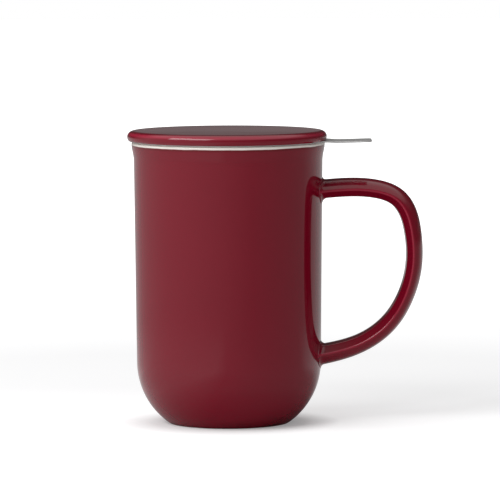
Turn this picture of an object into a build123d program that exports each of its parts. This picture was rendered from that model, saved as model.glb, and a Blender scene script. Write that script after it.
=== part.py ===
"""Lidded tea mug with a lift-out infuser basket.

A thrown porcelain mug with a strap handle carries a perforated steel basket, which hangs from its lip by a
flat rim plate with a finger tab. A flat porcelain lid lies on that plate. The lid lifts off the basket, and the
basket lifts out of the mug, both straight up.

Frame: millimetres, +Z up, the origin on the mug's axis in the plane that it stands on, the handle towards +X.
"""

from build123d import *
from math import floor, pi, radians, tan
import os

# ---------------------------------------------------------------- driving dimensions

# Mug body
body_height = 125.9  # foot plane to the flat top of the lip
foot_radius = 26.8  # where the rounded base meets the foot plane
body_radius = 41.2  # outside, at the height where the base curve ends
base_rise = 27.0  # height of the base curve
wall_angle = 0.6  # degrees that the outside leans out
lip_flare = 0.95  # how far the lip stands out from the leaning wall
lip_flare_height = 8.4  # the flare's start, below the lip's top
lip_band = 1.9  # height of the straight band at the top
lip_round = 0.7
lip_wall = 3.6  # thickness at the lip
wall = 3.8  # thickness where the base curve ends
inside_floor = 5.2  # height of the cavity's floor
inside_corner = 20.0
foot_ring_width = 3.4
foot_recess = 1.6  # depth of the hollow under the base
foot_edge_round = 0.4

# Handle: a flat oval strap, its centre line made of tangent runs and arcs
handle_drop = 20.2  # lip's top down to the centre line at the upper root
handle_top_run = 20.8  # from the body's surface
handle_shoulder_radius = 19.0
handle_shoulder_angle = 76.0
handle_back_radius = 56.0
handle_back_angle = 32.5
handle_heel_radius = 40.8
handle_heel_angle = 59.5
handle_thickness = 7.9
handle_width = 19.0

# Infuser basket, in stainless steel sheet
sheet = 0.5
basket_clearance = 3.0  # mug's inside, where the base curve ends, to the basket, on the radius
basket_lift = 27.7  # mug's inside floor up to the basket
plate_thickness = 0.6
plate_inset = 0.6  # the rim plate's edge inside the lip's
seam = 0.05  # neck and foot band to the wall inside them, on the radius
neck_height = 12.0
foot_band_height = 6.0
foot_band_lip = 1.5  # width of the turned-in edge that carries the floor
hole_radius = 0.9
hole_pitch = 7.0  # between holes round a row and between rows
floor_hole_pitch = 4.4
plain_margin = 2.5  # unpierced sheet between a band and the nearest hole
tab_length = 21.5  # beyond the rim plate
tab_width = 22.0
tab_tip_round = 3.0
tab_root_round = 12.0

# Lid
lid_overhang = 1.4  # lid beyond the lip
lid_thickness = 4.5
lid_top_round = 2.6
lid_bottom_round = 1.6
lid_ring_height = 5.8  # locating ring under the lid
lid_ring_wall = 3.0
lid_ring_round = 0.8
lid_clearance = 1.5  # locating ring to basket, on the radius
lid_shift = 0.5  # where the lid lies within that clearance: off the axis, away from the handle

# ---------------------------------------------------------------- what follows from them

inside_radius = body_radius - wall
basket_radius = inside_radius - basket_clearance


def body_outside(height):
    """Outside radius of the mug's leaning wall at a height."""
    return body_radius + (height - base_rise) * tan(radians(wall_angle))


lip_radius = body_outside(body_height) + lip_flare
mouth_radius = lip_radius - lip_wall

plate_bottom = body_height
plate_top = plate_bottom + plate_thickness
plate_radius = lip_radius - plate_inset
lid_radius = lip_radius + lid_overhang

band_inner = basket_radius - sheet
wall_outer = band_inner - seam
wall_inner = wall_outer - sheet
basket_bottom = inside_floor + basket_lift
floor_bottom = basket_bottom + sheet
lid_ring_outer = wall_inner - lid_clearance

# ---------------------------------------------------------------- mug body

flare_start = body_height - lip_flare_height
inside_lean = (mouth_radius - inside_radius) / (body_height - base_rise)
inside_floor_radius = inside_radius - inside_lean * (base_rise - inside_floor)

with BuildPart() as mug_form:
    with BuildSketch(Plane.XZ):
        with BuildLine():
            side = Line((body_radius, base_rise), (body_outside(flare_start), flare_start))
            base = TangentArc(side @ 0, (foot_radius, 0), tangent=side % 0 * -1)
            flare = TangentArc(side @ 1, (lip_radius, body_height - lip_band), tangent=side % 1)
            Polyline(flare @ 1, (lip_radius, body_height), (0, body_height), (0, 0), base @ 1)
        make_face()
    revolve(axis=Axis.Z)

with BuildPart() as mug_body:
    add(mug_form.part)
    with BuildSketch(Plane.XZ):
        with BuildLine():
            Polyline(
                (0, inside_floor),
                (inside_floor_radius, inside_floor),
                (mouth_radius, body_height),
                (0, body_height),
                close=True,
            )
        make_face()
        corner = vertices().group_by(Axis.Y)[0].sort_by(Axis.X)[-1]
        fillet(corner, inside_corner)
    revolve(axis=Axis.Z, mode=Mode.SUBTRACT)
    with BuildSketch(Plane.XY):
        Circle(foot_radius - foot_ring_width)
    extrude(amount=foot_recess, mode=Mode.SUBTRACT)
    lip_edges = edges().group_by(Axis.Z)[-1]
    fillet(lip_edges, lip_round)
    foot_edge = edges().group_by(Axis.Z)[0].sort_by(SortBy.RADIUS)[-1]
    fillet(foot_edge, foot_edge_round)
mug_body.part.label = "mug_body"

# ---------------------------------------------------------------- mug handle

handle_height = body_height - handle_drop
handle_end_x = body_radius / 2  # inside the body, which trims the ends to its own surface

with BuildPart() as mug_handle:
    with BuildLine(Plane.XZ):
        top_end = (body_outside(handle_height) + handle_top_run, handle_height)
        top = Line((handle_end_x, handle_height), top_end)
        shoulder = JernArc(top @ 1, top % 1, handle_shoulder_radius, -handle_shoulder_angle)
        back = JernArc(shoulder @ 1, shoulder % 1, handle_back_radius, -handle_back_angle)
        heel = JernArc(back @ 1, back % 1, handle_heel_radius, -handle_heel_angle)
        heel_end, heel_way = heel @ 1, heel % 1
        Line(heel_end, heel_end + heel_way * (handle_end_x - heel_end.X) / heel_way.X)
    with BuildSketch(Plane(origin=top @ 0, x_dir=(0, 1, 0), z_dir=top % 0)):
        Ellipse(handle_width / 2, handle_thickness / 2)
    sweep()
    add(mug_form.part, mode=Mode.SUBTRACT)
mug_handle.part.label = "mug_handle"

# ---------------------------------------------------------------- infuser

with BuildPart() as infuser_rim_plate:
    with BuildSketch(Plane.XY.offset(plate_bottom)):
        with BuildLine():
            Polyline(
                (band_inner, -tab_width / 2),
                (plate_radius + tab_length, -tab_width / 2),
                (plate_radius + tab_length, tab_width / 2),
                (band_inner, tab_width / 2),
                close=True,
            )
        make_face()
        fillet(vertices().group_by(Axis.X)[-1], tab_tip_round)
        Circle(plate_radius)
        tab_roots = vertices().filter_by_position(Axis.X, band_inner, plate_radius)
        fillet(tab_roots, tab_root_round)
        Circle(wall_inner, mode=Mode.SUBTRACT)
    extrude(amount=plate_thickness)
infuser_rim_plate.part.label = "infuser_rim_plate"

with BuildPart() as infuser_neck:
    with BuildSketch(Plane.XY.offset(plate_bottom)):
        Circle(basket_radius)
        Circle(band_inner, mode=Mode.SUBTRACT)
    extrude(amount=-neck_height)
infuser_neck.part.label = "infuser_neck"

pierced_bottom = basket_bottom + foot_band_height + plain_margin + hole_radius
pierced_top = plate_bottom - neck_height - plain_margin - hole_radius
row_gaps = floor((pierced_top - pierced_bottom) / hole_pitch)
row_pitch = (pierced_top - pierced_bottom) / row_gaps
holes_round = floor(2 * pi * wall_outer / hole_pitch)

with BuildPart() as infuser_wall:
    with BuildSketch(Plane.XY.offset(floor_bottom)):
        Circle(wall_outer)
        Circle(wall_inner, mode=Mode.SUBTRACT)
    extrude(amount=plate_bottom - floor_bottom)
    for row in range(row_gaps + 1):
        stagger = 180 / holes_round * (row % 2)
        with Locations((0, 0, pierced_bottom + row * row_pitch)):
            with PolarLocations(wall_outer, holes_round, start_angle=stagger):
                Cylinder(hole_radius, 4 * sheet, rotation=(0, 90, 0), mode=Mode.SUBTRACT)
infuser_wall.part.label = "infuser_wall"

floor_open_radius = band_inner - foot_band_lip

with BuildPart() as infuser_foot_band:
    with BuildSketch(Plane.XY.offset(basket_bottom)):
        Circle(basket_radius)
    extrude(amount=foot_band_height)
    with BuildSketch(Plane.XY.offset(floor_bottom)):
        Circle(band_inner)
    extrude(amount=foot_band_height, mode=Mode.SUBTRACT)
    with BuildSketch(Plane.XY.offset(basket_bottom)):
        Circle(floor_open_radius)
    extrude(amount=sheet, mode=Mode.SUBTRACT)
infuser_foot_band.part.label = "infuser_foot_band"

floor_rings = floor((floor_open_radius - hole_radius) / floor_hole_pitch)

with BuildPart() as infuser_floor:
    with BuildSketch(Plane.XY.offset(floor_bottom)):
        Circle(wall_inner - seam)
        Circle(hole_radius, mode=Mode.SUBTRACT)
        for ring in range(1, floor_rings + 1):
            with PolarLocations(ring * floor_hole_pitch, 6 * ring):
                Circle(hole_radius, mode=Mode.SUBTRACT)
    extrude(amount=sheet)
infuser_floor.part.label = "infuser_floor"

# ---------------------------------------------------------------- lid

lid_seat = Plane(origin=(-lid_shift, 0, plate_top))

with BuildPart() as lid:
    with BuildSketch(lid_seat):
        Circle(lid_radius)
    extrude(amount=lid_thickness)
    fillet(edges().group_by(Axis.Z)[-1], lid_top_round)
    fillet(edges().group_by(Axis.Z)[0], lid_bottom_round)
    with BuildSketch(lid_seat):
        Circle(lid_ring_outer)
        Circle(lid_ring_outer - lid_ring_wall, mode=Mode.SUBTRACT)
    extrude(amount=-lid_ring_height)
    fillet(edges().group_by(Axis.Z)[0], lid_ring_round)
lid.part.label = "lid"

# ---------------------------------------------------------------- files

os.makedirs("parts", exist_ok=True)
pieces = (
    mug_body,
    mug_handle,
    infuser_rim_plate,
    infuser_neck,
    infuser_wall,
    infuser_foot_band,
    infuser_floor,
    lid,
)
for piece in pieces:
    export_step(piece.part, f"parts/{piece.part.label}.step")
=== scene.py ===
# %% [markdown]
# # A lidded tea mug with a lift-out infuser basket
#
# The mug is a porcelain tumbler with a rounded base and a strap handle. A perforated steel basket hangs in it
# from a flat rim plate with a finger tab, and a flat porcelain lid lies on the plate. Every piece is built here
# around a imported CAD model, which gives the sizes, the bodies that move and the frame that all of it shares:
# metres, +Z up, the origin on the mug's axis in the plane that it stands on, the handle towards +X.

from math import cos, floor, hypot, pi, radians, sin, sqrt, tan

import bmesh
import bpy
import numpy as np
from mathutils import Matrix, Vector


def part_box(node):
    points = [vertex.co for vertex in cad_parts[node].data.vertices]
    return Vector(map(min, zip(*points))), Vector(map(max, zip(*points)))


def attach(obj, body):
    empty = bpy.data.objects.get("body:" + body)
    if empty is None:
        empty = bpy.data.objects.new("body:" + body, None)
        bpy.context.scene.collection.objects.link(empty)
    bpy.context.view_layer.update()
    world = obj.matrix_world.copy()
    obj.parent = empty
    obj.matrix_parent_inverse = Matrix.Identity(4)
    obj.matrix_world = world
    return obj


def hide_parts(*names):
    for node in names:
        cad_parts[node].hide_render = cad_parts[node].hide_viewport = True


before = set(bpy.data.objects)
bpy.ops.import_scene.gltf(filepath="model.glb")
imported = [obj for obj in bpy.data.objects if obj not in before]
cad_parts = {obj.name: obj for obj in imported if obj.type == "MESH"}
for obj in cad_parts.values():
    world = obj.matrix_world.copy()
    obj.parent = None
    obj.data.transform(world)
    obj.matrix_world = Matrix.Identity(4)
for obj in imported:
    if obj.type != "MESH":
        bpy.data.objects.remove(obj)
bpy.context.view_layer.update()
MM = 0.001
print("CAD nodes:", ", ".join(sorted(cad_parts)))

# %% [markdown]
# ## The sizes
#
# A piece that replaces a CAD node has to stand exactly where the node does. The heights and radii are therefore
# read from the nodes' own boxes wherever a box gives them, and only what no box shows is written as a number.

# %% Read the main sizes from the CAD nodes, in millimetres


def span(node):
    """A CAD node's lowest and highest corner in millimetres."""
    low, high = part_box(node)
    return np.array(low) / MM, np.array(high) / MM


LIP_TOP = span("mug_body")[1][2]
LIP_RADIUS = span("mug_body")[1][1]
PLATE_LOW, PLATE_TOP = span("infuser_rim_plate")[0][2], span("infuser_rim_plate")[1][2]
PLATE_RADIUS, TAB_END = span("infuser_rim_plate")[1][1], span("infuser_rim_plate")[1][0]
NECK_RADIUS, NECK_LOW = span("infuser_neck")[1][0], span("infuser_neck")[0][2]
WALL_RADIUS, WALL_LOW = span("infuser_wall")[1][0], span("infuser_wall")[0][2]
BAND_LOW, BAND_TOP = span("infuser_foot_band")[0][2], span("infuser_foot_band")[1][2]
LID_RADIUS, LID_TOP, LID_LOW = span("lid")[1][1], span("lid")[1][2], span("lid")[0][2]
LID_MIDDLE = (span("lid")[0][0] + span("lid")[1][0]) / 2
SHEET = 0.5  # thickness of the basket's sheet steel
BASKET_INNER = WALL_RADIUS - SHEET
print(f"lip {LIP_TOP:.1f} high, {LIP_RADIUS:.2f} radius; lid {LID_RADIUS:.2f} radius, top at {LID_TOP:.1f}")

# %% [markdown]
# ## Shader and geometry trees from Python
#
# A node tree is easier to read as a formula than as a list of nodes and links. `Wire` holds one output socket,
# and arithmetic on it adds Math nodes. `Tree.node` adds every other node: its settings first, because some of
# them change which sockets it has, and then the values or links of its sockets. The short methods after it only
# save words for the nodes that come up again and again.

# %% Wires and trees


class Wire:
    """An output socket that can be used in arithmetic."""

    def __init__(self, tree, source, out=0):
        self.tree, self.source, self.socket = tree, source, source.outputs[out]

    def out(self, name):
        """Another output of the same node."""
        return Wire(self.tree, self.source, name)

    def __add__(self, other):
        return self.tree.math("ADD", self, other)

    def __sub__(self, other):
        return self.tree.math("SUBTRACT", self, other)

    def __mul__(self, other):
        return self.tree.math("MULTIPLY", self, other)

    def __truediv__(self, other):
        return self.tree.math("DIVIDE", self, other)

    def __rsub__(self, other):
        return self.tree.math("SUBTRACT", other, self)

    __radd__, __rmul__ = __add__, __mul__

    def limited(self):
        """The value kept between 0 and 1."""
        return self.tree.math("MINIMUM", self.tree.math("MAXIMUM", self, 0.0), 1.0)

    def above(self, level, softness):
        """0 below a level and 1 above it, with a ramp as wide as softness."""
        return ((self - level) / softness + 0.5).limited()


class Tree:
    """A node tree under construction."""

    def __init__(self, tree):
        self.tree = tree

    def node(self, kind, settings=(), sockets=(), out=0):
        """A new node of a kind, as the wire of one of its outputs."""
        made = self.tree.nodes.new(kind)
        for name, value in dict(settings).items():
            if name == "stops":
                ramp = made.color_ramp.elements
                while len(ramp) < len(value):
                    ramp.new(0.5)
                for stop, (place, shade) in zip(ramp, value):
                    stop.position, stop.color = place, shade
            else:
                setattr(made, name, value)
        for name, value in dict(sockets).items():
            self.feed(made.inputs[name], value)
        return Wire(self, made, out) if made.outputs else None

    def feed(self, socket, value):
        if isinstance(value, Wire):
            self.tree.links.new(value.socket, socket)
        elif isinstance(value, list):
            for part in value:
                self.feed(socket, part)
        else:
            socket.default_value = value

    def mix(self, amount, first, second, kind="RGBA"):
        """Colours (or numbers, with kind FLOAT) mixed by an amount from 0 to 1."""
        place = {"RGBA": (6, 7, 2), "FLOAT": (2, 3, 0)}[kind]
        sockets = {0: amount, place[0]: first, place[1]: second}
        return self.node("ShaderNodeMix", {"data_type": kind}, sockets, place[2])

    def math(self, operation, *values):
        return self.node("ShaderNodeMath", {"operation": operation}, dict(enumerate(values)))

    def parts(self, vector):
        """A vector's X, Y and Z."""
        split = self.node("ShaderNodeSeparateXYZ", {}, {0: vector})
        return [split.out(axis) for axis in "XYZ"]

    def vector(self, x, y, z):
        return self.node("ShaderNodeCombineXYZ", {}, {0: x, 1: y, 2: z})

    def length(self, vector):
        return self.node("ShaderNodeVectorMath", {"operation": "LENGTH"}, {0: vector}, "Value")


def rgb(red, green, blue):
    return (red, green, blue, 1.0)


def grey(shade):
    return (shade, shade, shade, 1.0)


def darker(shade, share):
    return rgb(*(share * part for part in shade))


# %% [markdown]
# ## Glaze, bare clay and steel
#
# The mug's red glaze is a thin layer of glass over porcelain: a deep colour with a sharp reflection, a little
# pooling where it ran, and a skin that is never quite flat. The same pieces are white inside and bare where they
# stood in the kiln. One material holds all three coats, and an attribute that counts millimetres along the
# lathe's profile says which coat a point has. That keeps the edges of the coats exact at any distance, where a
# painted image would blur. Molten glaze draws back from edges and lies thin on them, so the lid's shoulder and
# the handle's ridge are lighter. That lighter red is also painted light: a painted highlight along the handle's
# ridge, and painted light from above on the lid's shoulder. On the handle the attribute counts from the ridge.

# %% The coats of the porcelain pieces
RED = (0.175, 0.0023, 0.0130)
DEEP_RED = (0.11, 0.0008, 0.0048)
# Lighter red for thin glaze on edges, also a painted highlight on the handle's ridge and painted light on the
# lid's shoulder.
THIN_HIGHLIGHT_RED = (0.30, 0.0120, 0.0340)
IVORY = (0.83, 0.79, 0.73)
CLAY = (0.66, 0.60, 0.52)
WANDER, BEAD_BACK, BEAD_HALF = 0.55, 0.55, 0.75  # of the red glaze's line and the bead behind it, in millimetres
LINE_FADE, BARE_FADE, THIN_HIGHLIGHT_FADE = 0.3, 0.25, 0.7  # how wide one coat fades into the next
GLAZE_ROUGHNESS, CLAY_ROUGHNESS = 0.045, 0.82
GLAZE_RIPPLE_DEPTH = 0.00003  # metres


def object_place(tree):
    return tree.node("ShaderNodeTexCoord").out("Object")


def noise(tree, scale, detail=2.0, roughness=0.5, place=None, stretch=None):
    """Noise from 0 to 1 over the object, its scale in cycles a metre."""
    place = place or object_place(tree)
    if stretch:
        place = tree.node("ShaderNodeMapping", {}, {"Vector": place, "Scale": stretch})
    sockets = {"Vector": place, "Scale": scale, "Detail": detail, "Roughness": roughness}
    return tree.node("ShaderNodeTexNoise", {}, sockets)


def material(name):
    made = bpy.data.materials.new(name)
    made.use_nodes = True
    made.node_tree.nodes.clear()
    return made, Tree(made.node_tree)


def surface(tree, sockets):
    shader = tree.node("ShaderNodeBsdfPrincipled", {}, sockets)
    tree.node("ShaderNodeOutputMaterial", {}, {"Surface": shader})
    print("a finish of", len(tree.tree.nodes), "nodes")


def porcelain(name, red_to=None, bare=(), dip=0.0, thin_highlight=None):
    """Red glaze up to a mark on the profile, white glaze past it, bare clay within the bare span.

    The dip is how many millimetres a metre the glaze's line climbs towards +Y. The red glaze is lighter
    within the thin span, for thin glaze on edges and a painted highlight there.
    """
    made, tree = material(name)
    along = tree.node("ShaderNodeAttribute", {"attribute_name": "along"}).out("Fac")
    pooling = noise(tree, 34.0, 3.0)
    ripple = noise(tree, 150.0, 2.0)
    wander = (noise(tree, 90.0, 2.0) - 0.5) * WANDER
    red = tree.mix(pooling.above(0.5, 0.7), rgb(*RED), darker(RED, 0.93))
    # The lighter red within the thin span: thin glaze, and a painted highlight.
    if thin_highlight:
        thin_highlight_span = along.above(thin_highlight[0], THIN_HIGHLIGHT_FADE) * (1 - along.above(thin_highlight[1], THIN_HIGHLIGHT_FADE))
        red = tree.mix(thin_highlight_span, red, rgb(*THIN_HIGHLIGHT_RED))
    colour = red
    if red_to is not None:
        mark = along + wander
        if dip:
            mark = mark - tree.parts(object_place(tree))[1] * dip
        bead = 1 - (tree.math("ABSOLUTE", mark - (red_to - BEAD_BACK)) / BEAD_HALF).limited()
        colour = tree.mix(bead * 0.9, red, rgb(*DEEP_RED))
        colour = tree.mix(mark.above(red_to, LINE_FADE), colour, rgb(*IVORY))
    shine = GLAZE_ROUGHNESS + 0.03 * ripple
    height = ripple * 0.35 + noise(tree, 45.0, 1.0)
    if bare:
        is_bare = along.above(bare[0], BARE_FADE) * (1 - along.above(bare[1], BARE_FADE))
        grain = noise(tree, 2600.0, 4.0, 0.7)
        colour = tree.mix(is_bare, colour, tree.mix(grain, rgb(*CLAY), darker(CLAY, 0.88)))
        shine = tree.mix(is_bare, shine, CLAY_ROUGHNESS, "FLOAT")
        height = height + is_bare * grain * 0.5
    bump = tree.node("ShaderNodeBump", {}, {"Strength": 1.0, "Distance": GLAZE_RIPPLE_DEPTH, "Height": height})
    surface(tree, {"Base Color": colour, "Roughness": shine, "Normal": bump, "IOR": 1.5})
    return made


# %% [markdown]
# Stainless steel sheet is pressed, so it is satin rather than mirror bright, with fine drawing lines along the
# direction in which it was worked. Long thin noise gives the lines: stretched along X on the flat plate, and
# round the axis on the bands, where the noise reads the angle and the height instead of X and Y.

# %% Steel finishes
DRAWN_STRETCH = (60.0, 2600.0, 2600.0)  # noise a metre along the lines and across them
ROUND_REACH = 0.034  # metres round the axis for each radian
LINE_DEPTH = 0.00002  # metres


def steel(name, shade, rough, lines="flat"):
    """Satin stainless steel. The lines run along X, or round the axis where lines is round."""
    made, tree = material(name)
    place = object_place(tree)
    if lines == "round":
        x, y, z = tree.parts(place)
        place = tree.vector(tree.math("ARCTAN2", y, x) * ROUND_REACH, z, 0.0)
    line = noise(tree, 1.0, 3.0, 0.6, place, DRAWN_STRETCH)
    cloud = noise(tree, 70.0, 2.0)
    colour = tree.mix(line * 0.6 + cloud * 0.4, darker(shade, 0.9), rgb(*shade))
    bump = tree.node("ShaderNodeBump", {}, {"Strength": 0.35, "Distance": LINE_DEPTH, "Height": line})
    shine = rough + 0.12 * line + 0.05 * cloud
    surface(tree, {"Base Color": colour, "Metallic": 1.0, "Roughness": shine, "Normal": bump})
    return made


plate_steel = steel("satin_steel_plate", (0.88, 0.875, 0.865), 0.30)
band_steel = steel("satin_steel_band", (0.60, 0.595, 0.585), 0.24, "round")
sheet_steel = steel("pierced_steel_sheet", (0.56, 0.555, 0.545), 0.28, "round")

# %% [markdown]
# ## The lathe
#
# The body, the lid and the basket's bands are round, so each is one profile turned about the axis. The profile
# is a list of corners, some of them rounded, and `rounded` turns each into a short arc that is tangent on both
# sides. Spin would do the turning too, but a mesh made ring by ring keeps its poles closed, its faces pointing
# out, and the distance along the profile on every point for the coats.

# %% Profile and lathe helpers


def arc(centre, radii, start, stop, steps):
    """Points on an ellipse's arc, the angles in degrees from the radius direction towards up."""
    turns = [radians(start + (stop - start) * n / steps) for n in range(steps + 1)]
    return [(centre[0] + radii[0] * cos(t), centre[1] + radii[1] * sin(t)) for t in turns]


def rounded(corners, steps=6):
    """A profile from (radius, height) or (radius, height, round) corners, each round made an arc."""
    points = []
    for n, corner in enumerate(corners):
        if len(corner) == 2 or not 0 < n < len(corners) - 1:
            points.append(tuple(corner[:2]))
            continue
        here = np.array(corner[:2])
        back = np.array(corners[n - 1][:2]) - here
        ahead = np.array(corners[n + 1][:2]) - here
        back, ahead = back / np.linalg.norm(back), ahead / np.linalg.norm(ahead)
        half = np.arccos(np.clip(back @ ahead, -1, 1)) / 2
        middle = here + (back + ahead) / np.linalg.norm(back + ahead) * corner[2] / sin(half)
        start, stop = here + back * corner[2] / tan(half), here + ahead * corner[2] / tan(half)
        for k in range(steps + 1):
            way = start - middle + (stop - start) * k / steps
            points.append(tuple(middle + way / np.linalg.norm(way) * corner[2]))
    return points


def new_object(name, data, finish=None):
    made = bpy.data.objects.new(name, data)
    bpy.context.scene.collection.objects.link(made)
    if finish:
        data.materials.append(finish)
    return made


def lathe(name, profile, finish, around=192, ring=False):
    """The profile turned about the axis. A profile that is a closed ring has ring set."""
    clean = [profile[0]]
    for point in profile[1:]:
        if hypot(point[0] - clean[-1][0], point[1] - clean[-1][1]) > 1e-4:
            clean.append(point)
    if ring and hypot(clean[0][0] - clean[-1][0], clean[0][1] - clean[-1][1]) < 1e-4:
        clean.pop()
    along, vertices, marks, rows = 0.0, [], [], []
    for n, (radius, height) in enumerate(clean):
        if n:
            along += hypot(radius - clean[n - 1][0], height - clean[n - 1][1])
        count = 1 if radius < 1e-6 else around
        rows.append((len(vertices), count))
        for k in range(count):
            turn = 2 * pi * k / around
            vertices.append((radius * cos(turn) * MM, radius * sin(turn) * MM, height * MM))
            marks.append(along)
    pairs = list(zip(rows, rows[1:])) + ([(rows[-1], rows[0])] if ring else [])
    faces = []
    for (low, low_count), (high, high_count) in pairs:
        for k in range(around):
            after = (k + 1) % around
            quad = [low + (k if low_count > 1 else 0), low + (after if low_count > 1 else 0)]
            quad += [high + (after if high_count > 1 else 0), high + (k if high_count > 1 else 0)]
            faces.append(list(dict.fromkeys(quad)))
    mesh = bpy.data.meshes.new(name)
    mesh.from_pydata(vertices, [], faces)
    mesh.attributes.new("along", "FLOAT", "POINT").data.foreach_set("value", marks)
    finish_mesh(mesh)
    print(f"{name}: {len(vertices)} points, profile {along:.1f} mm long")
    return new_object(name, mesh, finish)


def finish_mesh(mesh, sharp=40):
    """Faces out, smooth shading, and edges sharper than an angle kept sharp."""
    work = bmesh.new()
    work.from_mesh(mesh)
    bmesh.ops.recalc_face_normals(work, faces=work.faces)
    work.to_mesh(mesh)
    work.free()
    mesh.shade_smooth()
    mesh.set_sharp_from_angle(angle=radians(sharp))


def length_to(profile, radius, height):
    """Millimetres along a profile to its point nearest to a radius and height."""
    steps = [0.0]
    for one, two in zip(profile, profile[1:]):
        steps.append(steps[-1] + hypot(two[0] - one[0], two[1] - one[1]))
    nearest = min(range(len(profile)), key=lambda n: hypot(profile[n][0] - radius, profile[n][1] - height))
    return steps[nearest]


# %% [markdown]
# ## The mug's body
#
# A cast porcelain body stands on a narrow ring, swells through a rounded base, leans out by less than a degree,
# and flares a little at the lip so that the pour breaks cleanly. The base is an arc tangent to the leaning side.
# The flare is a short S curve that ends nearly upright. Because the glaze mirrors everything, the profile is made
# from these few smooth rules and not from many measured points, whose small errors would show as bands.

# %% The body's profile and shell
LEAN = radians(0.6)
BODY_RADIUS, BASE_RISE, FOOT_RADIUS = 41.2, 27.0, 26.8
FOOT_RING, RECESS = 3.4, 1.6
FLARE_START, LIP_BAND, LIP_ROUND = LIP_TOP - 8.4, 1.4, 1.0
MOUTH_RADIUS, INSIDE_RADIUS, INSIDE_FLOOR, INSIDE_CORNER = LIP_RADIUS - 3.6, 37.4, 5.2, 20.0


def body_outside(height):
    """Outside radius of the leaning wall at a height."""
    return BODY_RADIUS + (height - BASE_RISE) * tan(LEAN)


def base_arc(steps=40):
    """The rounded base from the foot up to the leaning wall: tangent to the wall, through the foot."""
    inward = np.array([-cos(LEAN), sin(LEAN)])
    top, foot = np.array([BODY_RADIUS, BASE_RISE]), np.array([FOOT_RADIUS, 0.0])
    gap = top - foot
    radius = -(gap @ gap) / (2 * gap @ inward)
    centre = top + inward * radius
    ends = [np.arctan2(*(point - centre)[::-1]) for point in (foot, top)]
    turns = np.linspace(ends[0], ends[1], steps + 1)
    return [(centre[0] + radius * cos(t), centre[1] + radius * sin(t)) for t in turns]


def flare(steps=16):
    """The lip's S curve. It starts along the leaning wall and ends nearly upright at the band."""
    low, high = body_outside(FLARE_START), LIP_RADIUS
    rise = LIP_TOP - LIP_BAND - FLARE_START
    points = []
    for n in range(1, steps + 1):
        t = n / steps
        ease = t * t * (2.4 - 1.4 * t)
        lean = tan(LEAN) * rise * (t - 2 * t * t + t * t * t)
        points.append((low + (high - low) * ease + lean, FLARE_START + rise * t))
    return points


FOOT_INNER, FOOT_ROUND = FOOT_RADIUS - FOOT_RING, 0.5
under = [(0, RECESS), (FOOT_INNER, RECESS, 0.8), (FOOT_INNER + 0.4, 0, FOOT_ROUND)]
foot = rounded([*under, (FOOT_RADIUS - 0.1, 0.0, FOOT_ROUND), base_arc()[2]])
side = [(body_outside(z), z) for z in np.linspace(BASE_RISE, FLARE_START, 40)]
lip = [(LIP_RADIUS, LIP_TOP - LIP_BAND), (LIP_RADIUS, LIP_TOP, LIP_ROUND), (MOUTH_RADIUS, LIP_TOP, 1.2)]
inside = [(INSIDE_RADIUS, BASE_RISE + 8.0), (INSIDE_RADIUS - 0.5, INSIDE_FLOOR, INSIDE_CORNER), (0, INSIDE_FLOOR)]
mug_profile = foot + base_arc()[3:] + side[1:] + flare() + rounded(lip + inside, 14)[1:]
glaze_end = length_to(mug_profile, LIP_RADIUS, LIP_TOP - LIP_BAND) + 0.35
GLAZE_DIP = 8.0
bare_ring = length_to(mug_profile, FOOT_INNER + 0.2, 0.3), length_to(mug_profile, FOOT_RADIUS, 0.15)
mug_coat = porcelain("mug_glazes", glaze_end, bare_ring, GLAZE_DIP)
mug_shell = lathe("mug_shell", mug_profile, mug_coat, 256)
print(f"glaze ends {glaze_end:.1f} mm along, bare ring {bare_ring[0]:.1f} to {bare_ring[1]:.1f}")

# %% [markdown]
# ## The strap handle
#
# The handle is a strip of clay that was pulled or cast with a flat section, and bent to a loop. A curve with a
# bevel could make the loop, but neither the changing thickness nor the smoothed roots, so the rings of the
# section are placed one by one along a spline through a few points, in millimetres across and up.

# %% The handle's centre line
HANDLE_LINE = (
    (30.5, 103.5), (41.8, 104.5), (56.6, 105.3), (65.8, 104.5), (75.5, 100.6), (79.5, 95.4), (82.2, 86.2),
    (82.7, 69.8), (79.2, 56.7), (71.6, 44.4), (59.4, 35.5), (39.7, 30.0), (30.2, 28.4),
)  # fmt: skip


def smooth_line(points, count=1200):
    """A natural cubic spline through points, resampled evenly, as rows of x and z."""
    points = np.array(points, float)
    steps = np.concatenate([[0], np.cumsum(np.linalg.norm(np.diff(points, axis=0), axis=1))])
    gaps = np.diff(steps)
    size = len(points)
    left, right = np.eye(size), np.zeros((size, 2))
    for n in range(1, size - 1):
        left[n, n - 1 : n + 2] = gaps[n - 1], 2 * (gaps[n - 1] + gaps[n]), gaps[n]
        rise = np.diff(points[n - 1 : n + 2], axis=0) / gaps[n - 1 : n + 1, None]
        right[n] = 6 * (rise[1] - rise[0])
    bend = np.linalg.solve(left, right)
    out = []
    for at in np.linspace(0, steps[-1], count):
        n = min(np.searchsorted(steps, at, side="right") - 1, size - 2)
        h, a = gaps[n], (steps[n + 1] - at) / gaps[n]
        b = 1 - a
        cubic = ((a**3 - a) * bend[n] + (b**3 - b) * bend[n + 1]) * h * h / 6
        out.append(a * points[n] + b * points[n + 1] + cubic)
    return np.array(out)


ROOT_DEPTH = 2.0  # how far the strap reaches into the wall
line = smooth_line(HANDLE_LINE)
line = line[line[:, 0] > body_outside(line[:, 1]) - ROOT_DEPTH]
travel = np.concatenate([[0], np.cumsum(np.linalg.norm(np.diff(line, axis=0), axis=1))])
print(f"handle centre line {travel[-1]:.1f} mm from wall to wall")

# %% [markdown]
# The strap's outer side is half an oval. Its inner side is shallower, with a nearly flat face for the fingers
# between two slanted flanks, and a bright line runs round the whole loop where flank and outer side meet, a
# reflection that the glaze's painted highlight there makes brighter. The inner side is a profile with rounded
# corners, as on the lathe, whose points are then spread evenly.

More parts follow.
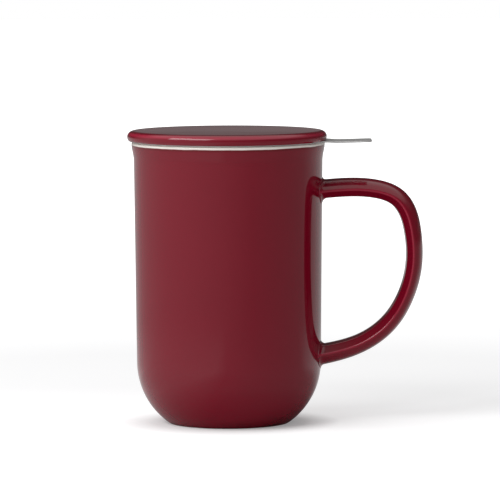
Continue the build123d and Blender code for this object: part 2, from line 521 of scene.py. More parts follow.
# %% The strap's section
HANDLE_HALF_WIDTH, RIDGE_SHARE = 9.5, 0.41
FLANK_SHARE, FACE_CORNER, FACE_BOW = 0.88, 1.4, 30
AROUND_STRAP = 96
THICKNESS = ((0, 0.12, 0.3, 0.45, 0.62, 0.85, 1), (8.5, 8.45, 8.3, 7.65, 7.55, 8.3, 9.3))


def strap_section(thick):
    """The strap's section as rows of width and depth: half an oval outside, flanks and a low face inside."""
    half = AROUND_STRAP // 2
    turns = pi * np.arange(half) / half
    outer = np.stack([HANDLE_HALF_WIDTH * np.cos(turns), (1 - RIDGE_SHARE) * thick * np.sin(turns)], 1)
    deep = RIDGE_SHARE * thick
    turn = FLANK_SHARE * deep
    flat = HANDLE_HALF_WIDTH - turn
    flank = [(HANDLE_HALF_WIDTH, 0), (flat, -turn, FACE_CORNER)]
    other_flank = [(-wide, *rest) for wide, *rest in flank]
    face = rounded([*other_flank, (0, -deep, FACE_BOW), *flank[::-1]], 10)
    steps = np.concatenate([[0], np.cumsum(np.hypot(*np.diff(face, axis=0).T))])
    marks = np.linspace(0, steps[-1], half + 1)[:-1]
    inner = [np.interp(marks, steps, [point[n] for point in face]) for n in (0, 1)]
    return np.concatenate([outer, np.stack(inner, 1)])


section = strap_section(8.0)
from_ridge = np.hypot(HANDLE_HALF_WIDTH - np.abs(section[:, 0]), section[:, 1])
print(f"{len(section)} points round the strap, up to {from_ridge.max():.1f} mm from a ridge")

# %% [markdown]
# At both ends the potter pressed the strip on to the body and smoothed the joint with a wet finger. Near the
# body each point of a ring is therefore pushed outwards by a quarter circle of its own distance from the wall,
# which is what a rounded fillet does. The rings stand close together there. Every point keeps its distance from
# the ridge as the attribute that the glaze reads.

# %% The handle's rings
ROOT_FILLET = {"outer": 1.5, "inner": 2.4, "side": 2.2}
CLOSE, NEAR = 5, 9  # how far from a root's end the rings stand close, and fairly close


def ring_places():
    """Distances along the centre line: close together at both roots, wider between them."""
    fine = np.concatenate([np.linspace(0, CLOSE, 34), np.linspace(CLOSE, NEAR, 14)[1:]])
    middle = np.linspace(NEAR, travel[-1] - NEAR, 110)[1:-1]
    return np.concatenate([fine, middle, travel[-1] - fine[::-1]])


def strap_ring(at):
    """One ring of the strap's section, as rows of x, y, z."""
    here = np.array([np.interp(at, travel, line[:, n]) for n in (0, 1)])
    step = 0.4
    ends = [[np.interp(at + s, travel, line[:, n]) for n in (0, 1)] for s in (-step, step)]
    way = np.subtract(ends[1], ends[0])
    way /= np.linalg.norm(way)
    out = np.array([-way[1], way[0]])  # away from the fingers
    thick = np.interp(at / travel[-1], *THICKNESS)
    turns = 2 * pi * np.arange(AROUND_STRAP) / AROUND_STRAP
    wide, depth = strap_section(thick).T
    depth = depth + (RIDGE_SHARE - 0.5) * thick
    points = np.stack([here[0] + depth * out[0], wide, here[1] + depth * out[1]], 1)
    reach = np.where(np.sin(turns) > 0, 1 - RIDGE_SHARE, RIDGE_SHARE) * thick
    lean = np.stack([np.sin(turns) / reach, np.cos(turns) / HANDLE_HALF_WIDTH], 1)
    lean /= np.linalg.norm(lean, axis=1)[:, None]
    outward = np.stack([lean[:, 0] * out[0], lean[:, 1], lean[:, 0] * out[1]], 1)
    side = np.abs(lean[:, 1]) ** 2
    fillet = np.where(np.sin(turns) > 0, ROOT_FILLET["outer"], ROOT_FILLET["inner"])
    fillet = fillet * (1 - side) + ROOT_FILLET["side"] * side
    gap = np.clip(np.hypot(points[:, 0], points[:, 1]) - body_outside(points[:, 2]), 0, None)
    part = np.clip((fillet - gap) / fillet, 0, 1)
    push = fillet * (1 - np.sqrt(1 - part * part))
    flat = outward * np.array([0.0, 1.0, 1.0])
    flat /= np.maximum(np.linalg.norm(flat, axis=1), 0.35)[:, None]
    return points + flat * push[:, None]


rings = np.array([strap_ring(at) for at in ring_places()])
count = len(rings)
vertices = [tuple(point * MM) for ring in rings for point in ring]
vertices += [tuple(rings[0].mean(0) * MM), tuple(rings[-1].mean(0) * MM)]
faces = []
for n in range(count - 1):
    for k in range(AROUND_STRAP):
        low, after = n * AROUND_STRAP, (k + 1) % AROUND_STRAP
        faces.append((low + k, low + after, low + after + AROUND_STRAP, low + k + AROUND_STRAP))
for k in range(AROUND_STRAP):
    after, last = (k + 1) % AROUND_STRAP, (count - 1) * AROUND_STRAP
    faces.append((len(vertices) - 2, after, k))
    faces.append((len(vertices) - 1, last + k, last + after))
strap_mesh = bpy.data.meshes.new("handle_strap")
strap_mesh.from_pydata(vertices, [], faces)
finish_mesh(strap_mesh, 60)
marks = [*np.tile(from_ridge, count), 4.0, 4.0]
strap_mesh.attributes.new("along", "FLOAT", "POINT").data.foreach_set("value", marks)
# The ridge's lighter red: thin glaze, and a painted highlight along the ridge.
handle_coat = porcelain("handle_glaze_coat", thin_highlight=(-1.0, 0.45))
handle_strap = new_object("handle_strap", strap_mesh, handle_coat)
print(f"handle: {len(vertices)} points")

# %% [markdown]
# ## The lid
#
# The lid is a flat disc with soft shoulders and a ring under it that drops into the basket. Its widest line is
# below the middle of the edge, and its edge hangs a little below the seat, over the rim plate's edge. It is red
# where it shows, white under, and bare on the ring's edge, on which it stood in the kiln.

# %% The lid
LID_WIDEST = PLATE_TOP + 1.75
LID_RING_OUTER, LID_RING_INNER = 31.85, 28.85
SHOULDER, UNDERCUT, CROWN, SKIRT = 2.9, 1.2, 0.12, 0.3
RED_UNDER = 4.0  # how far the red glaze runs in under the lid
# The lighter band on the shoulder is thin glaze and painted light from above.
THIN_HIGHLIGHT_TURNS = radians(50), radians(18)  # where on the shoulder the red glaze is thin

CROWN_RADIUS = LID_RADIUS - SHOULDER
LID_RISE = LID_TOP - CROWN - LID_WIDEST
crown = [(r, LID_TOP - CROWN * (r / CROWN_RADIUS) ** 2) for r in np.linspace(0, CROWN_RADIUS, 24)]
shoulder = arc((CROWN_RADIUS, LID_WIDEST), (SHOULDER, LID_RISE), 90, 0, 18)[1:]
undercut = arc((LID_RADIUS - UNDERCUT, LID_WIDEST), (UNDERCUT, LID_WIDEST - PLATE_TOP + SKIRT), 0, -90, 14)
locating_ring = rounded([
    (LID_RADIUS - 1.35, PLATE_TOP - SKIRT), (LID_RADIUS - 1.65, PLATE_TOP), (LID_RING_OUTER, PLATE_TOP, 0.8),
    (LID_RING_OUTER, LID_LOW, 0.9),
    (LID_RING_INNER, LID_LOW, 0.9), (LID_RING_INNER, PLATE_TOP, 1.2), (0, PLATE_TOP),
])  # fmt: skip
lid_profile = crown + shoulder + undercut[1:] + locating_ring
lid_red_end = length_to(lid_profile, LID_RADIUS - RED_UNDER, PLATE_TOP)
lid_bare = [length_to(lid_profile, radius, LID_LOW + 0.6) for radius in (LID_RING_OUTER, LID_RING_INNER)]
lid_thin_highlight = [
    length_to(lid_profile, CROWN_RADIUS + SHOULDER * cos(t), LID_WIDEST + LID_RISE * sin(t))
    for t in THIN_HIGHLIGHT_TURNS
]
lid_coat = porcelain("lid_glazes", lid_red_end, lid_bare, thin_highlight=lid_thin_highlight)
lid_disc = lathe("lid_disc", lid_profile, lid_coat, 256)
for vertex in lid_disc.data.vertices:
    vertex.co.x += LID_MIDDLE * MM

# %% [markdown]
# ## The rim plate and its tab
#
# The plate is punched from sheet as a washer with a tongue, whose roots and tip are rounded, and its edges are
# broken. A flat filled curve is the natural way: two closed outlines, the inner one cutting the hole, extruded
# by the sheet's thickness with a small bevel. The tongue is then sliced across and bent: it steps down just
# past the lip and rises again to its tip.

# %% The rim plate
TAB_HALF, TIP_ROUND, ROOT_ROUND = 11.0, 3.0, 12.0
EDGE_BREAK = 0.12
TAB_DIP, TAB_LIFT, DIP_SHARE = 0.28, 0.4, 0.25


def plate_outline():
    """The washer's outline with its tongue, as (x, y) points in millimetres, anticlockwise."""
    side = TAB_HALF + ROOT_ROUND
    root = np.array([sqrt((PLATE_RADIUS + ROOT_ROUND) ** 2 - side**2), side])
    start = np.arctan2(root[1], root[0])
    rim = [(PLATE_RADIUS * cos(t), PLATE_RADIUS * sin(t)) for t in np.linspace(start, 2 * pi - start, 180)]
    low_root = arc((root[0], -root[1]), (ROOT_ROUND,) * 2, np.degrees(pi - start), 90, 14)
    low_tip = arc((TAB_END - TIP_ROUND, TIP_ROUND - TAB_HALF), (TIP_ROUND,) * 2, -90, 0, 10)
    return rim + low_root[1:] + low_tip + [(x, -y) for x, y in (low_root + low_tip)[::-1]][:-1]


def closed_spline(curve, points):
    spline = curve.splines.new("POLY")
    spline.points.add(len(points) - 1)
    for place, (x, y) in zip(spline.points, points):
        place.co = (x * MM, y * MM, 0, 1)
    spline.use_cyclic_u = True


curve = bpy.data.curves.new("plate_outline", "CURVE")
curve.dimensions, curve.fill_mode = "2D", "BOTH"
closed_spline(curve, plate_outline())
closed_spline(curve, [(BASKET_INNER * cos(t), BASKET_INNER * sin(t)) for t in np.linspace(0, 2 * pi, 145)[:-1]])
thickness = PLATE_TOP - PLATE_LOW
curve.extrude = (thickness / 2 - EDGE_BREAK) * MM
curve.bevel_depth, curve.bevel_resolution, curve.offset = EDGE_BREAK * MM, 2, -EDGE_BREAK * MM
flat_plate = new_object("flat_plate", curve)


def plain_mesh(piece, name):
    """The evaluated shape of an object as a plain mesh."""
    graph = bpy.context.evaluated_depsgraph_get()
    mesh = bpy.data.meshes.new_from_object(piece.evaluated_get(graph))
    mesh.name = name
    return mesh


plate_mesh = plain_mesh(flat_plate, "rim_plate")
bpy.data.objects.remove(flat_plate)
work = bmesh.new()
work.from_mesh(plate_mesh)
bmesh.ops.remove_doubles(work, verts=work.verts, dist=0.002 * MM)
for cut in np.arange(PLATE_RADIUS + 1.0, TAB_END, 1.0):
    every = work.verts[:] + work.edges[:] + work.faces[:]
    bmesh.ops.bisect_plane(work, geom=every, plane_co=(cut * MM, 0, 0), plane_no=(1, 0, 0))
for vertex in work.verts:
    share = max(0.0, (vertex.co.x / MM - LIP_RADIUS - 0.3) / (TAB_END - LIP_RADIUS))
    step = min(1.0, share / DIP_SHARE)
    bend = TAB_LIFT * share * share - TAB_DIP * step * step * (3 - 2 * step)
    vertex.co.z += ((PLATE_LOW + PLATE_TOP) / 2 + bend) * MM
work.to_mesh(plate_mesh)
work.free()
plate_mesh.materials.clear()
finish_mesh(plate_mesh, 50)
rim_plate = new_object("rim_plate", plate_mesh, plate_steel)
print(f"rim plate: {len(plate_mesh.vertices)} points")

# %% [markdown]
# ## The basket's bands
#
# The neck is a plain drawn band under the plate, and the foot band is crimped round the lower edge and turned
# in to carry the floor. Both are lathe work, with the sheet's real thickness and rolled edges.

# %% Neck and foot band
BAND_INNER = NECK_RADIUS - SHEET
LIP_IN, EDGE_ROUND = 1.5, 0.22


def band(name, low, high, turned_in=0.0):
    """A sheet band, its lower edge turned in where asked."""
    start = (NECK_RADIUS, (low + high) / 2)
    if turned_in:
        corners = [
            (NECK_RADIUS, high, EDGE_ROUND), (BAND_INNER, high, EDGE_ROUND), (BAND_INNER, low + SHEET, 0.3),
            (BAND_INNER - turned_in, low + SHEET, EDGE_ROUND), (BAND_INNER - turned_in, low, EDGE_ROUND),
            (NECK_RADIUS, low, 0.8),
        ]  # fmt: skip
    else:
        corners = [
            (NECK_RADIUS, high), (BAND_INNER, high),
            (BAND_INNER, low, EDGE_ROUND), (NECK_RADIUS, low, EDGE_ROUND),
        ]  # fmt: skip
    return lathe(name, rounded([start, *corners, start], 5), band_steel, 160, ring=True)


neck_band = band("neck_band", NECK_LOW, PLATE_LOW)
foot_band = band("foot_band", BAND_LOW, BAND_TOP, LIP_IN)

# %% [markdown]
# ## The pierced sheets
#
# The basket's wall and floor are sheet with thousands of small holes in staggered rows. That is a pattern with
# a rule, so Geometry Nodes make it: one six-sided cell with a hole is placed on a staggered grid, the cells are
# merged into a sheet, and the sheet gets its thickness. The holes have six sides too, which looks round at this
# size and keeps the mesh light.

# %% Helpers for geometry trees
FLOAT, WHOLE = "NodeSocketFloat", "NodeSocketInt"
POSITION = "GeometryNodeInputPosition"
MERGE_REACH, THIN_MERGE_REACH = 0.02 * MM, 0.002 * MM


def geometry_tree(name, inputs):
    """A geometry tree with named number inputs, and its input node's outputs as wires."""
    group = bpy.data.node_groups.new(name, "GeometryNodeTree")
    for label, kind, default in inputs:
        socket = group.interface.new_socket(label, in_out="INPUT", socket_type=kind)
        socket.default_value = default
    group.interface.new_socket("Geometry", in_out="OUTPUT", socket_type="NodeSocketGeometry")
    tree = Tree(group)
    source = tree.node("NodeGroupInput")
    return tree, {label: source.out(label) for label, _, _ in inputs}


def cells(tree, across, up, columns, rows, cell, hole, keep=None):
    """Hexagon cells with holes, on staggered rows: merged into one flat sheet round the origin.

    Only the cells whose middles are within the keep distance stay, where it is given.
    """
    grid = {"Size X": (columns - 1) * across, "Size Y": (rows - 1) * up, "Vertices X": columns, "Vertices Y": rows}
    grid = tree.node("GeometryNodeMeshGrid", {}, grid)
    index = tree.node("GeometryNodeInputIndex")
    odd = tree.math("MODULO", tree.math("MODULO", index, rows), 2.0)
    shift = tree.vector((odd - 0.5) * across * 0.5, 0.0, 0.0)
    points = tree.node("GeometryNodeSetPosition", {}, {"Geometry": grid, "Offset": shift})
    if keep is not None:
        gone = {"Geometry": points, "Selection": tree.math("GREATER_THAN", tree.length(tree.node(POSITION)), keep)}
        points = tree.node("GeometryNodeDeleteGeometry", {"domain": "POINT"}, gone)
    disc = tree.node("GeometryNodeMeshCircle", {"fill_type": "NGON"}, {"Vertices": 6, "Radius": cell})
    disc = tree.node("GeometryNodeTransform", {}, {"Geometry": disc, "Rotation": (0, 0, pi / 6)})
    inner = tree.node("GeometryNodeExtrudeMesh", {"mode": "FACES"}, {"Mesh": disc, "Offset Scale": 0.0})
    top = inner.out("Top")
    shrunk = {"Geometry": inner, "Selection": top, "Scale": hole / cell}
    inner = tree.node("GeometryNodeScaleElements", {"domain": "FACE"}, shrunk)
    gone = {"Geometry": inner, "Selection": top}
    inner = tree.node("GeometryNodeDeleteGeometry", {"domain": "FACE"}, gone)
    placed = tree.node("GeometryNodeInstanceOnPoints", {}, {"Points": points, "Instance": inner})
    flat = tree.node("GeometryNodeRealizeInstances", {}, {"Geometry": placed})
    return tree.node("GeometryNodeMergeByDistance", {}, {"Geometry": flat, "Distance": MERGE_REACH})


def thicken(tree, sheet, thickness):
    """A closed shell from a sheet, grown along its normals."""
    grown = {"Mesh": sheet, "Offset Scale": thickness, "Individual": False}
    grown = tree.node("GeometryNodeExtrudeMesh", {"mode": "FACES"}, grown)
    back = tree.node("GeometryNodeFlipFaces", {}, {"Mesh": sheet})
    both = tree.node("GeometryNodeJoinGeometry", {}, {"Geometry": [grown, back]})
    return tree.node("GeometryNodeMergeByDistance", {}, {"Geometry": both, "Distance": THIN_MERGE_REACH})


def end_tree(tree, geometry, finish):
    """The end of every tree: real geometry and its material, because the export drops instances."""
    whole = tree.node("GeometryNodeRealizeInstances", {}, {"Geometry": geometry})
    done = tree.node("GeometryNodeSetMaterial", {}, {"Geometry": whole, "Material": finish})
    tree.node("NodeGroupOutput", {}, {"Geometry": done})
    print(f"{tree.tree.name}: {len(tree.tree.nodes)} nodes")


# %% [markdown]
# The wall starts as the flat sheet of cells. Its ragged upper and lower edges are straightened and carried on as
# plain sheet, up to the plate and down to the floor. Then the sheet is rolled into a tube, its points merged
# where the two ends meet, and only then does it get its thickness, so that the tube has no gap.

# %% The wall's tree
WALL_INPUTS = (
    ("Radius", FLOAT, 0.03), ("Columns", WHOLE, 100), ("Rows", WHOLE, 40), ("Hole", FLOAT, 0.0005),
    ("Thickness", FLOAT, 0.0005), ("Bottom", FLOAT, 0.0), ("Top", FLOAT, 0.1),
)  # fmt: skip
tree, size = geometry_tree("pierced_wall", WALL_INPUTS)
across = 2 * pi * size["Radius"] / size["Columns"]
up = across * (sqrt(3) / 2)
cell = across / sqrt(3)
flat = cells(tree, across, up, size["Columns"], size["Rows"], cell, size["Hole"])

half = (size["Rows"] - 1) * up * 0.5 + cell * 0.5
x, y, _ = tree.parts(tree.node(POSITION))
straight = tree.vector(x, tree.math("MINIMUM", tree.math("MAXIMUM", y, 0 - half), half), 0.0)
sheet = tree.node("GeometryNodeSetPosition", {}, {"Geometry": flat, "Position": straight})

reach = (size["Top"] - size["Bottom"]) * 0.5 - half
for way in (1, -1):
    height = tree.parts(tree.node(POSITION))[1] * way
    on_border = tree.math("LESS_THAN", tree.node("GeometryNodeInputMeshEdgeNeighbors"), 1.5)
    border = on_border * tree.math("GREATER_THAN", height, half - 0.01 * MM)
    plain = {"Mesh": sheet, "Selection": border, "Offset": tree.vector(0.0, reach * way, 0.0)}
    sheet = tree.node("GeometryNodeExtrudeMesh", {"mode": "EDGES"}, plain)

x, y, _ = tree.parts(tree.node(POSITION))
turn = x / size["Radius"]
away = [tree.math(wave, turn) * size["Radius"] for wave in ("COSINE", "SINE")]
rolled = tree.vector(*away, y + (size["Top"] + size["Bottom"]) * 0.5)
tube = tree.node("GeometryNodeSetPosition", {}, {"Geometry": sheet, "Position": rolled})
tube = tree.node("GeometryNodeMergeByDistance", {}, {"Geometry": tube, "Distance": MERGE_REACH})
end_tree(tree, thicken(tree, tube, size["Thickness"]), sheet_steel)

# %% [markdown]
# A tree runs as a modifier on an empty mesh. Its inputs are set by their identifiers, the result is copied as a
# plain mesh, and the modifier goes, so that what is left is an ordinary piece.

# %% Run the wall's tree
COLUMNS, HOLE_RADIUS, PLAIN_EDGES = 108, 0.56, 4.0
HOLE_PITCH = 2 * pi * BASKET_INNER / COLUMNS


def smooth_sheet(mesh):
    mesh.shade_smooth()
    mesh.set_sharp_from_angle(angle=radians(35))


def run_tree(name, tree, values):
    """An object whose mesh a geometry tree made with these inputs."""
    holder = new_object(name, bpy.data.meshes.new(name))
    modifier = holder.modifiers.new("maker", "NODES")
    modifier.node_group = tree.tree
    for item in tree.tree.interface.items_tree:
        if item.in_out == "INPUT" and item.name in values:
            modifier[item.identifier] = values[item.name]
    mesh = plain_mesh(holder, name)
    holder.modifiers.clear()
    holder.data = mesh
    smooth_sheet(mesh)
    triangles = sum(len(face.vertices) - 2 for face in mesh.polygons)
    print(f"{name}: {triangles} triangles")
    return holder


rows = floor((NECK_LOW - BAND_TOP - PLAIN_EDGES) / (HOLE_PITCH * sqrt(3) / 2))
wall_values = {
    "Radius": BASKET_INNER * MM, "Columns": COLUMNS, "Rows": rows, "Hole": HOLE_RADIUS * MM,
    "Thickness": SHEET * MM, "Bottom": WALL_LOW * MM, "Top": (PLATE_LOW - 0.02) * MM,
}  # fmt: skip
pierced_wall = run_tree("pierced_wall", tree, wall_values)

# %% [markdown]
# A tube rolled from sheet has a seam. Its edges overlap below the tab, and a row of spot welds holds them, so a
# narrow strip lies inside the wall there. The welds are flat lenses on a line, placed by Geometry Nodes.

# %% The wall's seam and its spot welds
SEAM_HALF, SEAM_SHEET = 3.0, 0.4
WELDS, WELD_LOW, WELD_HIGH, WELD_RADIUS = 12, BAND_TOP + 3.0, NECK_LOW - 3.0, 1.0
WELD_INPUTS = (
    ("Count", WHOLE, 10), ("First", FLOAT, 0.04), ("Pitch", FLOAT, 0.01), ("Size", FLOAT, 0.001),
    ("Reach", FLOAT, 0.03),
)  # fmt: skip
tree, size = geometry_tree("spot_welds", WELD_INPUTS)
start = tree.vector(size["Reach"], 0.0, size["First"])
step = tree.vector(0.0, 0.0, size["Pitch"])
line_sockets = {"Count": size["Count"], "Start Location": start, "Offset": step}
spots = tree.node("GeometryNodeMeshLine", {}, line_sockets)
lens = tree.node("GeometryNodeMeshUVSphere", {}, {"Segments": 20, "Rings": 8, "Radius": size["Size"]})
lens = tree.node("GeometryNodeTransform", {}, {"Geometry": lens, "Scale": (0.16, 1.0, 1.0)})
placed = tree.node("GeometryNodeInstanceOnPoints", {}, {"Points": spots, "Instance": lens})
end_tree(tree, placed, sheet_steel)
weld_values = {
    "Count": WELDS, "First": WELD_LOW * MM, "Pitch": (WELD_HIGH - WELD_LOW) / (WELDS - 1) * MM,
    "Size": WELD_RADIUS * MM, "Reach": (BASKET_INNER - SEAM_SHEET) * MM,
}  # fmt: skip
spot_welds = run_tree("spot_welds", tree, weld_values)

# %% [markdown]
# The strip is the overlap itself: a thin bar, bent round the wall. It could be cut out of a tube, but one loop of
# points, listed along its two arcs and repeated at its upper end, gives the same bar without a cut. The strip and
# the welds then join the wall's mesh, because all of it is one piece of steel.

# %% The seam's strip


def join_meshes(mesh, others):
    """Add other meshes to a mesh as loose parts of it."""
    work = bmesh.new()
    for part in (mesh, *others):
        work.from_mesh(part)
    work.to_mesh(mesh)
    work.free()
    smooth_sheet(mesh)


seam_turns = np.linspace(-1, 1, 9) * SEAM_HALF / BASKET_INNER
seam_low, seam_high = WALL_LOW + SHEET + 0.1, PLATE_LOW - 1.0
sides = [(BASKET_INNER - 0.02, t) for t in seam_turns] + [(BASKET_INNER - SEAM_SHEET, t) for t in seam_turns[::-1]]
loop = [(r * cos(t) * MM, r * sin(t) * MM) for r, t in sides]
around = len(loop)
vertices = [(x, y, z * MM) for z in (seam_low, seam_high) for x, y in loop]
faces = [(k, (k + 1) % around, around + (k + 1) % around, around + k) for k in range(around)]
faces += [tuple(range(around)), tuple(range(around, 2 * around))]
seam_mesh = bpy.data.meshes.new("seam")
seam_mesh.from_pydata(vertices, [], faces)
finish_mesh(seam_mesh)
join_meshes(pierced_wall.data, [seam_mesh, spot_welds.data])
bpy.data.objects.remove(spot_welds)
print(f"seam {seam_high - seam_low:.1f} mm long with {WELDS} welds")

# %% [markdown]
# The floor is the same sheet cut to a disc. Its cells stop at a circle, and a thin plain ring, which the foot
# band presses flat, covers their ragged edge.

# %% The floor
FLOOR_INPUTS = (
    ("Pitch", FLOAT, 0.002), ("Count", WHOLE, 30), ("Hole", FLOAT, 0.0005), ("Reach", FLOAT, 0.03),
    ("Thickness", FLOAT, 0.0005),
)  # fmt: skip
tree, size = geometry_tree("pierced_floor", FLOOR_INPUTS)
up = size["Pitch"] * (sqrt(3) / 2)
cell = size["Pitch"] / sqrt(3)
flat = cells(tree, size["Pitch"], up, size["Count"], size["Count"], cell, size["Hole"], size["Reach"])
end_tree(tree, thicken(tree, flat, size["Thickness"]), sheet_steel)
PIERCED_REACH, PRESSED = 29.6, 0.03
floor_values = {
    "Pitch": HOLE_PITCH * MM, "Count": 41, "Hole": HOLE_RADIUS * MM, "Reach": PIERCED_REACH * MM,
    "Thickness": SHEET * MM,
}  # fmt: skip
pierced_floor = run_tree("pierced_floor", tree, floor_values)
pierced_floor.data.transform(Matrix.Translation((0, 0, WALL_LOW * MM)))
low, high = WALL_LOW - PRESSED, WALL_LOW + SHEET + PRESSED
ring_outer, ring_inner = BASKET_INNER - 0.05, 29.0
edge_ring = [(ring_outer, low), (ring_outer, high), (ring_inner, high), (ring_inner, low)]
rim = lathe("floor_rim", edge_ring, sheet_steel, 120, ring=True)
join_meshes(pierced_floor.data, [rim.data])
bpy.data.objects.remove(rim)

# %% [markdown]
# ## Bodies and CAD nodes
#
# Every piece rides on the CAD body that it belongs to and stands in for its CAD node, which is hidden.

# %% Hand the pieces to the frame
for piece, body, node, slot in (
    (mug_shell, "mug", "mug_body", "mug_glaze"),
    (handle_strap, "mug", "mug_handle", "handle_glaze"),
    (lid_disc, "lid", "lid", "lid_glaze"),
    (rim_plate, "infuser", "infuser_rim_plate", "rim_plate_steel"),
    (neck_band, "infuser", "infuser_neck", "basket_band_steel"),
    (foot_band, "infuser", "infuser_foot_band", "basket_band_steel"),
    (pierced_wall, "infuser", "infuser_wall", "basket_mesh_steel"),
    (pierced_floor, "infuser", "infuser_floor", "basket_mesh_steel"),
):
    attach(piece, body)
    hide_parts(node)
    print(f"{piece.name} rides on {body} for {node}")

# %% [markdown]
# ## The floor
#
# The mug stands on a white sweep. The sweep looks white to the camera and still takes the mug's soft shadow,
# because only part of its brightness comes from the light and the rest is a glow that the camera alone sees. The
# glow is weaker under the mug, where the shadow is deepest, and behind it: a painted contact shadow and a painted
# shade. The glaze mirrors only the sweep near the mug, dimmer in front of it than behind it and on its left, and
# darkest at the foot: painted shade near the foot and in front, and painted light behind and on the left.

# %% The sweep
FLOOR_SIZE = 6.0
PAPER, PAPER_SEEN = rgb(0.9, 0.9, 0.905), rgb(0.75, 0.75, 0.755)
PAPER_MIRRORED, FRONT_MIRRORED, FOOT_MIRRORED = grey(0.85), grey(0.42), grey(0.24)
FOOT_GLOW, OPEN_GLOW, BACK_GLOW_LOSS = 0.21, 0.25, 0.14
sweep_mesh = bpy.data.meshes.new("sweep")
corners = [(x * FLOOR_SIZE, y * FLOOR_SIZE, 0) for x, y in ((-1, -1), (1, -1), (1, 1), (-1, 1))]
sweep_mesh.from_pydata(corners, [], [(0, 1, 2, 3)])
sweep_finish, tree = material("white_sweep")
path = tree.node("ShaderNodeLightPath")
seen, mirrored = path.out("Is Camera Ray"), path.out("Is Glossy Ray")
place = object_place(tree)
reach = tree.length(place)
x, y, _ = tree.parts(place)
# Glossy rays see painted shade on the sweep, darkest at the foot and dim in front, and painted light behind and on
# the left.
bright = tree.math("MAXIMUM", y.above(0.05, 0.08), (0 - x).above(0.035, 0.05) * 0.8)
dim = tree.mix(reach.above(0.05, 0.03), FOOT_MIRRORED, FRONT_MIRRORED)
shade = tree.mix(seen, PAPER, PAPER_SEEN)
shade = tree.mix(mirrored, shade, tree.mix(bright, dim, PAPER_MIRRORED))
# The camera's glow is weaker near the foot and behind the mug: a painted contact shadow and a painted shade.
glow = FOOT_GLOW + reach.above(0.042, 0.016) * (OPEN_GLOW - y.above(0.08, 0.12) * BACK_GLOW_LOSS)
glow = glow + reach.above(0.7, 0.8) * (1 - glow)
paper = tree.node("ShaderNodeBsdfDiffuse", {}, {"Color": shade})
glow = tree.node("ShaderNodeEmission", {}, {"Color": grey(1), "Strength": seen * glow})
both = tree.node("ShaderNodeAddShader", {}, {0: paper, 1: glow})
clear = tree.node("ShaderNodeBsdfTransparent")
both = tree.node("ShaderNodeMixShader", {}, {0: mirrored * reach.above(0.3, 0.3), 1: both, 2: clear})
tree.node("ShaderNodeOutputMaterial", {}, {"Surface": both})
sweep = new_object("sweep", sweep_mesh, sweep_finish)
print(f"sweep {2 * FLOOR_SIZE:.0f} m wide")

# %% [markdown]
# ## The light
#
# A glossy glaze shows the room in it, so the room matters as much as the lamp. The world gives glossy rays a grey
# room that is brighter on the left and has a bright ceiling, a dark band in front and on the right, and a back
# wall that is bright only near the floor. Ramps over the ray's direction hold the greys. The camera sees plain
# white, and all other rays get a fill that is stronger from the left and from above.

# %% The room seen in the glaze
AMBIENT, LEFT_LIGHT, TOP_LIGHT = 0.5, 0.23, 0.14
FRONT_WALL = ((0.0, 0.31), (0.25, 0.29), (0.58, 0.45), (0.80, 0.54), (1.0, 0.62))  # from the right to the left
TABLE = ((0.0, 0.42), (0.3, 0.34), (0.5, 0.3), (0.8, 0.36), (1.0, 0.4))  # from the front to the back
BACK_WALL = (  # upwards
    (0.2, 0.50), (0.34, 0.12), (0.42, 0.09), (0.5, 0.12), (0.565, 0.13), (0.61, 0.19), (0.665, 0.12), (0.74, 0.04),
)  # fmt: skip
DARK_BAND, CEILING = grey(0.05), rgb(1.0, 0.99, 0.98)


def ramp(tree, amount, greys):
    stops = [(place, grey(shade)) for place, shade in greys]
    return tree.node("ShaderNodeValToRGB", {"stops": stops}, {"Fac": amount})


world = bpy.data.worlds.new("studio")
bpy.context.scene.world = world
world.use_nodes = True
world.node_tree.nodes.clear()
tree = Tree(world.node_tree)
path = tree.node("ShaderNodeLightPath")
right, back, above = tree.parts(tree.node("ShaderNodeTexCoord").out("Generated"))
left = 0 - right
front_light = ramp(tree, left * 0.5 + 0.5, FRONT_WALL)
back_light = ramp(tree, (above + 0.1) * 4, BACK_WALL)
dark_front = above.above(-0.01, 0.05) * (1 - above.above(0.42, 0.25)) * (1 - left.above(0.35, 0.5))
front_light = tree.mix(dark_front * 0.8, front_light, DARK_BAND)
room = tree.mix(back.above(0.5, 0.5), front_light, back_light)
room = tree.mix((above + back * -0.12).above(0.60, 0.2), room, CEILING)
room = tree.mix((0 - above).above(0.5, 0.5), room, ramp(tree, back * 0.5 + 0.5, TABLE))
strength = AMBIENT + left * LEFT_LIGHT + above * TOP_LIGHT
fill = tree.node("ShaderNodeBackground", {}, {"Color": grey(1), "Strength": strength})
mirror = tree.node("ShaderNodeBackground", {}, {"Color": room, "Strength": 1.0})
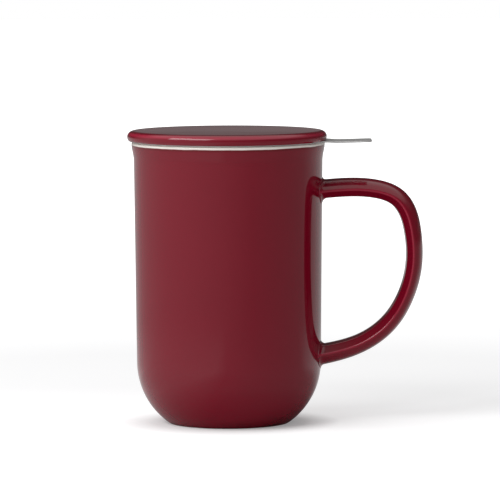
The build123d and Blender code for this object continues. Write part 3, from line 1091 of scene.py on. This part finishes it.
white = tree.node("ShaderNodeBackground", {}, {"Color": grey(1), "Strength": 1.0})
lit = tree.node("ShaderNodeMixShader", {}, {0: path.out("Is Glossy Ray"), 1: fill, 2: mirror})
lit = tree.node("ShaderNodeMixShader", {}, {0: path.out("Is Camera Ray"), 1: lit, 2: white})
tree.node("ShaderNodeOutputWorld", {}, {"Surface": lit})
print(f"room of {len(world.node_tree.nodes)} nodes")

# %% [markdown]
# One softbox stands on the left in front of the mug and above it. It is large and near, so the shadow that it
# throws is soft and its reflection in the glaze is broad.

# %% The softbox
AZIMUTH, DISTANCE, HEIGHT = radians(-50), 1.2, 1.08  # the azimuth from the camera's side, negative to the left
AIM, WATTS = Vector((0, 0, 0.06)), 13.5
lamp = bpy.data.lights.new("softbox", "AREA")
lamp.shape, lamp.size, lamp.size_y, lamp.energy = "RECTANGLE", 1.3, 0.7, WATTS
softbox = new_object("softbox", lamp)
softbox.location = (DISTANCE * sin(AZIMUTH), -DISTANCE * cos(AZIMUTH), HEIGHT)
softbox.rotation_euler = (AIM - softbox.location).to_track_quat("-Z", "Y").to_euler()
print(f"softbox {(AIM - softbox.location).length:.2f} m from the mug, {WATTS} W")

# %% [markdown]
# ## The camera
#
# A long lens two metres away and a little above the rim, so that the lid shows as a thin ellipse.

# %% The camera
CAMERA_PLACE, CAMERA_AIM = Vector((0.00960, -2.0, 0.24014)), Vector((0.00960, 0, 0.07725))
CAMERA_ROLL = radians(-0.2)
camera = bpy.data.cameras.new("camera")
camera.sensor_width, camera.lens = 36.0, 323.08
camera_object = new_object("camera", camera)
look = (CAMERA_AIM - CAMERA_PLACE).to_track_quat("-Z", "Y").to_matrix().to_4x4()
camera_object.matrix_world = Matrix.Translation(CAMERA_PLACE) @ look @ Matrix.Rotation(CAMERA_ROLL, 4, "Z")
bpy.context.scene.camera = camera_object
bpy.context.scene.view_settings.view_transform = "Standard"
print(f"camera {(CAMERA_AIM - CAMERA_PLACE).length:.2f} m from the mug, {camera.lens} mm lens")
